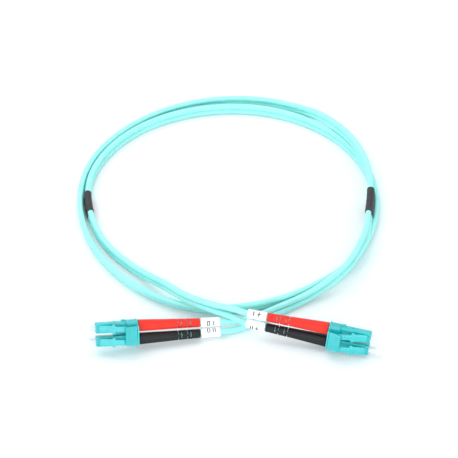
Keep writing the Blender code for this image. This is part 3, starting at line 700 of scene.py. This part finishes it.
@lru_cache(maxsize=None)
def latch_mesh():
    """A springy arm that rises from its root past two ears to a narrower tail."""
    arm = loose("latch", prism(LATCH_SIDE, (-3, 3), "y"))
    plan = list(LATCH_PLAN) + [(x, -half) for x, half in reversed(LATCH_PLAN)]
    combine(arm, prism(plan, (0, 8), "z"), "INTERSECT")
    return discard(bevelled(arm, 0.12, 2, 50))


@lru_cache(maxsize=None)
def ferrule_mesh():
    """The ceramic ferrule with its chamfered, slightly domed tip."""
    dome = [(-2.0, 0.001), (-1.995, 0.2), (-1.98, 0.36), (-1.95, 0.43)]
    shank = [(-1.72, 0.615), (-1.66, 0.625), (4.4, 0.625), (4.4, 0.001)]
    return turned(dome + shank, 48, False)


@lru_cache(maxsize=None)
def dust_cap_mesh():
    """A push-on cap with a rim round its recessed tip and a blind bore for the ferrule."""
    profile = [
        (1.6, 0.85), (1.6, 1.25), (1.45, 1.4), (-3.3, 1.4), (-3.5, 1.5), (-3.6, 1.75),
        (-3.66, 2.12), (-3.8, 2.2), (-4.7, 2.2), (-4.86, 2.12), (-4.9, 1.98), (-4.9, 1.2),
        (-4.7, 1.05), (-4.7, 0.001), (-2.7, 0.001), (-2.7, 0.8), (1.5, 0.8),
    ]
    return turned(profile, 48)


def boot_outline(x):
    """Nearly square at the clip, round at the tail."""
    share = (x - BOOT_FROM) / (BOOT_TO - BOOT_FROM)
    radius = BOOT_RADII[0] + (BOOT_RADII[1] - BOOT_RADII[0]) * share
    squareness = 2 + 1.6 * max(0.0, 1 - share * 1.6) ** 1.3
    angles = np.arange(56) * 2 * math.pi / 56
    cos, sin = (np.cos(angles), np.sin(angles))
    y = np.sign(cos) * np.abs(cos) ** (2 / squareness)
    z = np.sign(sin) * np.abs(sin) ** (2 / squareness)
    return radius * np.column_stack([y, z])


@lru_cache(maxsize=None)
def boot_mesh():
    """Tapered strain relief along X from its own front end, with staggered slits near its tail."""
    sections = [(x, boot_outline(x)) for x in np.linspace(BOOT_FROM + 0.25, BOOT_TO - 0.3, 30)]
    front, back = (boot_outline(BOOT_FROM), boot_outline(BOOT_TO))
    outside = [(BOOT_FROM, front * 0.93), (BOOT_FROM + 0.07, front * 0.975)] + sections
    outside += [(BOOT_TO - 0.08, back * 0.96), (BOOT_TO, back * 0.9)]
    wide, narrow = (circle(radius, 56) for radius in BOOT_BORES)
    inside = [(BOOT_TO, narrow), (BOOT_STEP, narrow), (BOOT_STEP, wide), (BOOT_FROM, wide)]
    boot = loose("boot", loft(rings_along_x(outside + inside), False, True))
    for x, kind in SLITS:
        for low, high in ((SLIT_WEB, 4.0), (-4.0, -SLIT_WEB)):
            span = (x - SLIT_WIDTH / 2, x + SLIT_WIDTH / 2)
            through, cut = ((-4, 4), (low, high))
            combine(boot, box(span, cut, through) if kind == "side" else box(span, through, cut))
    mesh = discard(boot)
    mesh.transform(Matrix.Translation((-BOOT_FROM, 0, 0)))
    return mesh


# Generic marks, as spans along the sleeve from its start and in degrees round it: the end's
# mark, an open square or a cross, then one bar for channel 1 or two for channel 2
END_MARK = {
    "a": ((2.75, 3.2, -30, 30), (3.8, 4.25, -30, 30), (3.2, 3.8, 20, 30), (3.2, 3.8, -30, -20)),
    "b": ((3.25, 3.7, -30, 30), (2.65, 4.3, -6, 6)),
}
CHANNEL_MARK = {
    1: ((5.7, 6.2, -30, 30),),
    2: ((5.3, 5.75, -30, 30), (6.25, 6.7, -30, 30)),
}
# The direction in degrees that each sleeve's marks face, from the strand's Y towards its Z
MARK_FACING = {"a1": 94, "a2": 46, "b1": 126, "b2": 62}


def sleeve_mesh(key, channel):
    """A short label sleeve along X from its boot's front; its marks are inked faces."""
    start, end = (x - BOOT_FROM for x in SLEEVE_SPAN)
    inner, outer = SLEEVE_RADII
    facing = MARK_FACING[f"{key}{channel}"]
    printed = END_MARK[key] + CHANNEL_MARK[channel]
    marks = [(start + x0, start + x1, low, high) for x0, x1, low, high in printed]
    cuts = sorted({round(x, 4) for mark in marks for x in mark[:2]})
    profile = [(start, inner), (start, outer - SLEEVE_EDGE), (start + SLEEVE_EDGE, outer)]
    profile += [(x, outer) for x in cuts]
    profile += [(end - SLEEVE_EDGE, outer), (end, outer - SLEEVE_EDGE), (end, inner)]
    mesh = turned(profile, 90)
    for face in mesh.polygons:
        middle = sum((mesh.vertices[i].co for i in face.vertices), Vector()) / len(face.vertices)
        turn = (math.degrees(math.atan2(middle.z, middle.y)) - facing + 180) % 360 - 180
        inked = any(x0 < middle.x < x1 and low <= turn <= high for x0, x1, low, high in marks)
        face.material_index = 1 if inked and middle.yz.length > outer - 0.02 else 0
    return mesh


def strand_side(channel):
    """+1 for the upper strand, which is channel 1, and -1 for the lower one."""
    return 1 if channel == 1 else -1


def line_matrix(key, channel):
    """The frame of the strand through a boot and label sleeve, X back from the boot's front."""
    straight = [0, 4] if key == "a" else [-1, -5]
    places = ROUTE_LINE.at[straight]
    start, end = (Vector(point) for point in ROUTE_LINE.strand(places, strand_side(channel)))
    x_axis = (end - start).normalized()
    y_axis = (end_matrix(ENDS[key]).to_3x3() @ Vector((0, 0, 1))).cross(x_axis).normalized()
    z_axis = x_axis.cross(y_axis)
    turn = Matrix([[axis[i] for axis in (x_axis, y_axis, z_axis)] for i in range(3)]).to_4x4()
    return Matrix.Translation(start) @ turn


def make_plug(key, channel):
    """The pieces of one plug as far as its label sleeve, which is given back."""
    prefix = f"{key}{channel}"
    offset = channel_offset(key, channel)
    at_channel = end_matrix(ENDS[key]) @ Matrix.Translation((0, offset, 0))
    on_line = line_matrix(key, channel)
    outer = 1 if offset > 0 else -1
    fit(
        f"{prefix}_housing_fine", housing_mesh(outer), at_channel, "aqua_plastic", ROOT,
        [f"{prefix}_plug_housing"])
    fit(
        f"{prefix}_latch_fine", latch_mesh(), at_channel, "aqua_plastic", f"{prefix}_latch_arm",
        [f"{prefix}_latch"])
    fit(
        f"{prefix}_ferrule_fine", ferrule_mesh(), at_channel, "ceramic", f"{prefix}_ferrule_unit",
        [f"{prefix}_ferrule"])
    fit(
        f"{prefix}_cap_fine", dust_cap_mesh(), at_channel, "white_plastic", f"{prefix}_cap",
        [f"{prefix}_dust_cap"], looks=("clear_cap",))
    boot = "red_boot" if channel == 1 else "black_boot"
    fit(f"{prefix}_boot_fine", boot_mesh(), on_line, boot, ROOT, [f"{prefix}_boot"])
    return fit(
        f"{prefix}_sleeve_fine", sleeve_mesh(key, channel), on_line, "white_plastic", ROOT,
        [f"{prefix}_label_sleeve"], looks=("white_plastic", "ink"))


# ---------------------------------------------------------------- clip and trigger

@lru_cache(maxsize=None)
def clip_mesh():
    """The block round two plugs, with a front rim, a spine between them, a flange and a wall."""
    block = moved(rounded_outline(5.75, 3.1, 1.0), 0, 0.2)
    body = bevelled(loose("clip", prism(block, CLIP_SPAN, "x")), 0.12, 2, 50)
    rim = moved(rounded_outline(5.83, 3.18, 1.0), 0, 0.2)
    rim = bevelled(loose("rim", prism(rim, (CLIP_SPAN[0], CLIP_RIM_TO), "x")), 0.1, 2, 50)
    combine(body, discard(rim), "UNION")
    combine(body, rounded_box((SPINE_SPAN, (-0.7, 0.7), (-2.0, 0.6)), 0.2, 3), "UNION")
    flange = moved(rounded_outline(5.95, 3.35, 1.0), 0, 0.25)
    flange = bevelled(loose("flange", prism(flange, FLANGE_SPAN, "x")), 0.16, 3, 50)
    combine(body, discard(flange), "UNION")
    combine(body, rounded_box((FLANGE_SPAN, (-4.3, 4.3), (2.0, 6.9)), 0.16, 3), "UNION")
    channel = rounded_outline(CHANNEL_HALF, CHANNEL_HALF, 0.3, 3)
    for y in (-PITCH / 2, PITCH / 2):
        combine(body, prism(moved(channel, y, 0), (13, 21), "x"))
    return discard(body)


def trigger_outline():
    """Side view of the trigger, rising forwards from its hinge, with half-round ribs on top."""
    front, back = TRIGGER_SPAN
    low_front, low_back = TRIGGER_UNDERSIDE
    thick = TRIGGER_THICKNESS
    slope = (low_front - low_back) / (front - back)
    pitch = (back - front - 0.4) / RIBS
    points = [(back, low_back), (13.7, low_front - 0.14)]
    points += [(front + 0.12, low_front - 0.02), (front, low_front + 0.1)]
    points += [(front, low_front + thick + 0.2), (front + 0.1, low_front + thick + 0.32)]
    for i in range(RIBS):
        for step in range(6):
            x = front + 0.3 + (i + 0.08 + 0.62 * step / 5) * pitch
            height = RIB_HEIGHT * math.sin(math.pi * step / 5) ** 0.6 if 0 < step < 5 else 0.0
            points.append((x, low_front + slope * (x - front) + thick + height))
    points.append((back, low_back + thick))
    return points


@lru_cache(maxsize=None)
def trigger_mesh():
    """The ribbed plate that presses both latch tails, rounded in plan at its front."""
    front, back = TRIGGER_SPAN
    plate = loose("trigger", prism(trigger_outline(), (-TRIGGER_HALF, TRIGGER_HALF), "y"))
    plan = [(front, -3.5), (front + 0.25, -3.85), (14.7, -4.22), (back, -TRIGGER_HALF)]
    plan += [(x, -y) for x, y in reversed(plan)]
    combine(plate, prism(plan, (4, 10), "z"), "INTERSECT")
    return discard(bevelled(plate, 0.05, 2, 60))


# ---------------------------------------------------------------- the cord and what is on it

def twin_outline(radius, from_angle, count):
    """The two lobes of a twin outline as (across, up) pairs, counter-clockwise.

    Each lobe runs past its half circle by from_angle, in radians, at both ends.
    """
    points = []
    for middle, turn in ((STRAND_GAP / 2, 0.0), (-STRAND_GAP / 2, math.pi)):
        for i in range(count):
            angle = turn - from_angle + (math.pi + 2 * from_angle) * i / (count - 1)
            points.append((radius * math.cos(angle), middle + radius * math.sin(angle)))
    return np.array(points)


def carried(outlines, centres, across, up):
    """One outline for each place of a line, set there as a ring."""
    places = zip(outlines, centres, across, up)
    return [centre + ring[:, :1] * a + ring[:, 1:] * u for ring, centre, a, u in places]


def sweep_rings(s, outlines):
    """One outline for each place, carried along the pair's centre line."""
    centre, across, up, _ = ROUTE_LINE.frames(s)
    return carried(outlines, centre, across, up)


def make_zip_cord():
    """The twin cord between the two splits, with its centre line in metres."""
    s = stretch(SPLIT_AT["a"] + MEETING_GAP, SPLIT_AT["b"] - MEETING_GAP, 2.2)
    outline = twin_outline(STRAND_RADIUS, math.acos(WEB_HALF / STRAND_RADIUS), 15)
    mesh = loft(sweep_rings(s, [outline] * len(s)))
    piece = fit("zip_cord_fine", mesh, Matrix(), "aqua_jacket", ROOT, ["zip_cord"], 50)
    return piece, ROUTE_LINE.strand(s, 0) * MM


def make_leg(key, channel):
    """One round strand from inside its boot to the split, with its centre line in metres."""
    inset = LEG_FROM - BOOT_FROM
    if key == "a":
        s = stretch(inset, SPLIT_AT["a"] - MEETING_GAP, 1.8)
    else:
        s = stretch(ROUTE_LINE.length - inset, SPLIT_AT["b"] + MEETING_GAP, 1.8)
    centre, across, up, gap = ROUTE_LINE.frames(s)
    line = centre + up * (strand_side(channel) * gap / 2)[:, None]
    mesh = loft(carried([circle(STRAND_RADIUS, 28)] * len(s), line, across, up))
    prefix = f"{key}{channel}"
    piece = fit(f"{prefix}_leg_fine", mesh, Matrix(), "aqua_jacket", ROOT, [f"{prefix}_leg"], 50)
    return piece, line * MM


def make_shrink(key):
    """A puckered tube over the place where two legs become the twin cord."""
    half = SHRINK_LENGTH[key] / 2
    middle = SPLIT_AT[key]
    places = stretch(middle - half + 0.25, middle + half - 0.25, 0.8)
    inner, outer = (STRAND_RADIUS + SHRINK_BORE, STRAND_RADIUS + SHRINK_OUTSIDE)
    start, end = (middle - half, middle + half)
    rows = [(start, inner), (start, outer - 0.14), (start + 0.08, outer - 0.04)]
    rows += [(s, outer + 0.035 * math.sin(2.1 * s) * math.sin(0.37 * s)) for s in places]
    rows += [(end - 0.08, outer - 0.04), (end, outer - 0.14), (end, inner)]
    s = np.array([row[0] for row in rows])
    outlines = [twin_outline(radius, 0.0, 15) for _, radius in rows]
    mesh = loft(sweep_rings(s, outlines), False, True)
    return fit(f"{key}_shrink_fine", mesh, Matrix(), "black_shrink", ROOT, [f"{key}_heat_shrink"])


def run_of(line):
    """Length of a line of points."""
    return float(np.linalg.norm(np.diff(line, axis=0), axis=1).sum())


def make_end(key):
    """Clip, trigger, both plugs and both legs of one end."""
    at_end = end_matrix(ENDS[key])
    fit(f"{key}_clip_fine", clip_mesh(), at_end, "aqua_plastic", ROOT, [f"{key}_duplex_clip"])
    # The trigger wears the lighter copy of the aqua plastic, whose extra lightness is painted
    # sheen.
    fit(
        f"{key}_trigger_fine", trigger_mesh(), at_end, "aqua_plastic", f"{key}_release",
        [f"{key}_trigger"], looks=("aqua_trigger_painted_sheen",))
    for channel in (1, 2):
        sleeve = make_plug(key, channel)
        leg, line = make_leg(key, channel)
        length = run_of(line)
        tuple(line[0])


def make_twin():
    """The twin cord and the two heat-shrink tubes at its splits."""
    zip_cord, line = make_zip_cord()
    shrinks = [make_shrink(key) for key in ENDS]
    length = run_of(line)
    tuple(line[0])


# ---------------------------------------------------------------- what stays from the CAD

# The kinds of node that keep their CAD mesh, and their materials
KEPT = {
    "ferrule_holder": "steel",
    "spring": "steel",
    "rear_body": "steel",
    "crimp_sleeve": "brass",
    "buffered_fibre": "fibre_buffer",
}


def finish_kept_nodes():
    """A finished material for each node that isn't replaced."""
    for name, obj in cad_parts.items():
        kind = name.split("_", 1)[1]
        if kind in KEPT:
            obj.data.materials.clear()
            obj.data.materials.append(MATERIALS[KEPT[kind]])


# ---------------------------------------------------------------- camera, floor and light

# The camera looks along +Y and down at the target, from so many metres away
ELEVATION = math.radians(43.5)
DISTANCE = 1.1
TARGET = Vector((-0.0019, 0.07875, 0.0))
FLOOR_DROP = 0.00005
LIGHT_TARGET = Vector((0, 0.08, 0))


def make_camera():
    data = bpy.data.cameras.new("camera")
    data.lens = 177.2
    data.sensor_width = 36.0
    data.clip_start = 0.01
    camera = bpy.data.objects.new("camera", data)
    bpy.context.scene.collection.objects.link(camera)
    camera.location = TARGET + DISTANCE * Vector((0, -math.cos(ELEVATION), math.sin(ELEVATION)))
    camera.rotation_euler = (math.pi / 2 - ELEVATION, 0, 0)
    bpy.context.scene.camera = camera


def make_floor():
    """A pale floor just under the cord, so that the two never share a plane."""
    bm = bmesh.new()
    bmesh.ops.create_grid(bm, x_segments=1, y_segments=1, size=2.0)
    mesh = bpy.data.meshes.new("floor")
    bm.to_mesh(mesh)
    bm.free()
    shade = Shade("floor", (0.86, 0.89, 0.90), 0.7, Specular_IOR_Level=0.2)
    mesh.materials.append(shade.material)
    floor = loose("floor", mesh)
    floor.location.z = -FLOOR_DROP


def area_light(name, location, size, power, colour):
    """A round area light that faces the middle of the loop."""
    data = bpy.data.lights.new(name, "AREA")
    data.shape = "DISK"
    data.size = size
    data.energy = power
    data.color = colour
    light = bpy.data.objects.new(name, data)
    bpy.context.scene.collection.objects.link(light)
    light.location = location
    away = Vector(location) - LIGHT_TARGET
    light.rotation_euler = away.to_track_quat("Z", "Y").to_euler()


def make_light():
    """Soft light from all round, a key light from behind and a wide fill from the front."""
    world = bpy.data.worlds.new("studio")
    world.use_nodes = True
    background = world.node_tree.nodes["Background"]
    background.inputs["Color"].default_value = (0.93, 0.97, 1.0, 1)
    background.inputs["Strength"].default_value = 0.88
    bpy.context.scene.world = world
    area_light("key", (-0.3, 0.5, 1.0), 1.1, 5.5, (1.0, 0.99, 0.97))
    area_light("front", (-0.05, -1.15, 0.35), 2.0, 15, (1.0, 1.0, 1.0))
    bpy.context.scene.view_settings.view_transform = "Standard"


def main():
    make_camera()
    make_twin()
    for key in ENDS:
        make_end(key)
    finish_kept_nodes()
    make_floor()
    make_light()


main()
